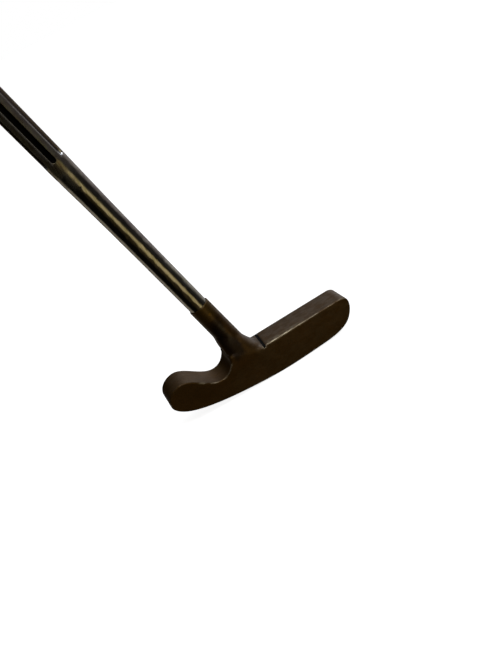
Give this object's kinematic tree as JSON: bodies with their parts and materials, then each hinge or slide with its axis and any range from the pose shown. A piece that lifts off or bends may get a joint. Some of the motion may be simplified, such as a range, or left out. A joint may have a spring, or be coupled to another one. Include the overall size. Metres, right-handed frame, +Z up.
{
  "type": "golf putter",
  "caption": "Blade putter: cast brass head with a heel bulb and integral neck, pinned to a fluted, tapered steel shaft with a wound leather paddle grip.",
  "frame": {"origin": "middle of the striking face, straight below the sight line and half way between the top line and the sole", "axes": "+X along the blade from heel to toe, +Y out of the striking face, +Z up, parallel to the faces of the blade; the shaft leans back to the heel and 4.5 degrees over the striking side"},
  "size_m": [0.2984, 0.0896, 0.8602],
  "materials": {
    "head_brass": "aged satin brass, browned, brighter where worn",
    "sight_black": "black enamel",
    "pin_brass": "peened and filed flush",
    "shaft_chrome": "polished plate with fine pitting",
    "bond_epoxy": "cured epoxy",
    "plug_wood": "plain turned wood",
    "tape_cloth": "cloth tape",
    "under_rubber": "matt moulded rubber",
    "grip_leather": "worn dark brown hide",
    "band_black": "glossy black tape",
    "collar_rubber": "matt black rubber",
    "cap_plastic": "black plastic",
    "screw_brass": "plain brass"
  },
  "bodies": {
    "root": {"putter_head": "head_brass", "sight_line_fill": "sight_black", "hosel_pin": "pin_brass", "shaft": "shaft_chrome", "shaft_bond": "bond_epoxy", "butt_plug": "plug_wood", "grip_tape": "tape_cloth", "grip_underlisting": "under_rubber", "grip_leather": "grip_leather", "finishing_band": "band_black", "grip_collar": "collar_rubber", "end_cap": "cap_plastic", "cap_screw": "screw_brass"}
  },
  "joints": []
}
